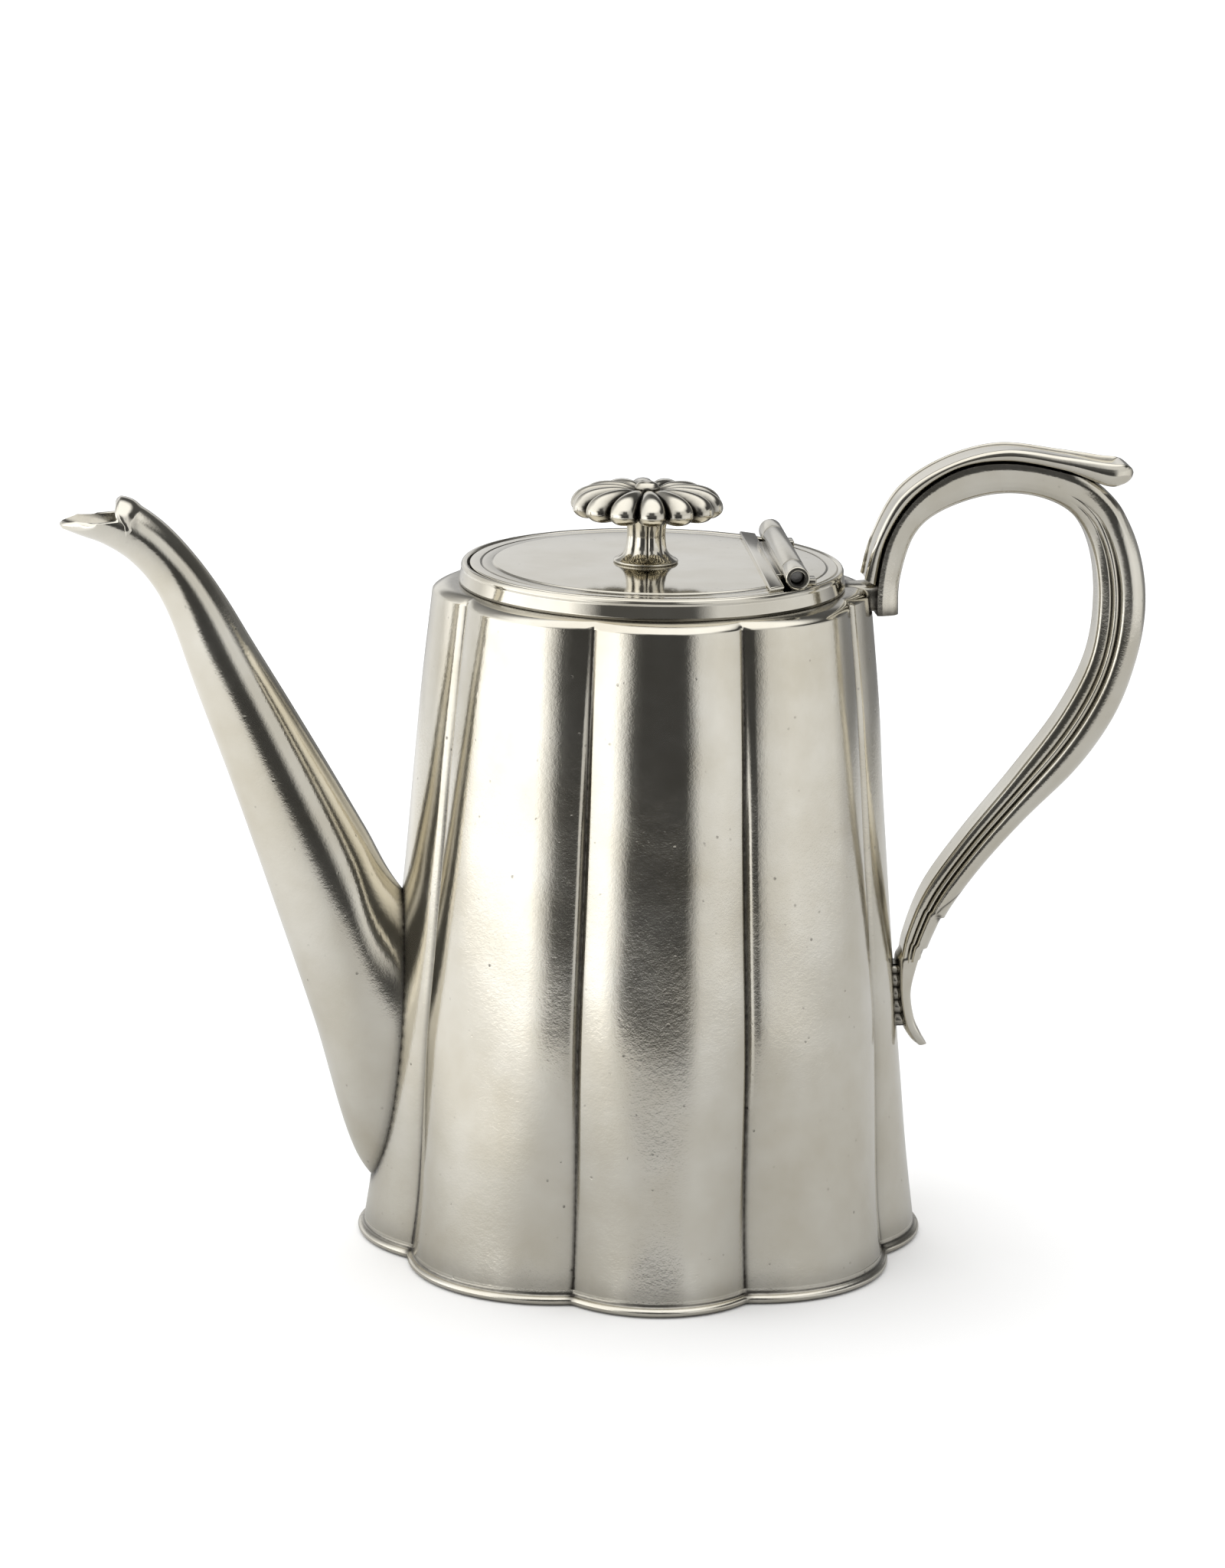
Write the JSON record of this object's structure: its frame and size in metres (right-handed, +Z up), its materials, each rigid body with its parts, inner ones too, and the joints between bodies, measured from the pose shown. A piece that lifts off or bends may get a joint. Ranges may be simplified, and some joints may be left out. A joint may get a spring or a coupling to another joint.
{
  "type": "coffee pot",
  "caption": "Lobed metal coffee pot with a hinged flat lid, fluted flower knob, tall beaked spout and a loop handle with a thumb rest.",
  "frame": {"origin": "centre of the foot on the table, on the body's axis", "axes": "+Z up along the body's axis, +X towards the handle, -X towards the spout"},
  "size_m": [0.2394, 0.1276, 0.1798],
  "materials": {
    "pewter": "polished pewter, satin",
    "pin_steel": "plain"
  },
  "bodies": {
    "body": {"body_wall": "pewter", "foot_rim": "pewter", "base_plate": "pewter", "shoulder": "pewter", "collar": "pewter", "rear_deck": "pewter", "hinge_end_front": "pewter", "hinge_end_back": "pewter", "hinge_pin": "pin_steel", "spout": "pewter", "handle_grip": "pewter", "handle_spine": "pewter", "thumb_rest": "pewter", "handle_tail": "pewter", "upper_bracket": "pewter", "lower_bracket": "pewter"},
    "lid": {"lid_plate": "pewter", "lid_bezel": "pewter", "lid_leaf": "pewter", "knob_stem": "pewter", "knob_flower": "pewter", "knob_button": "pewter", "knob_stud": "pin_steel", "knob_washer": "pin_steel", "knob_nut": "pin_steel"}
  },
  "joints": [
    {"name": "lid_hinge", "type": "hinge", "parent": "body", "child": "lid", "pos_m": [0.029, 0, 0.1554], "axis": [0, 1, 0], "range_deg": [0, 110]}
  ]
}
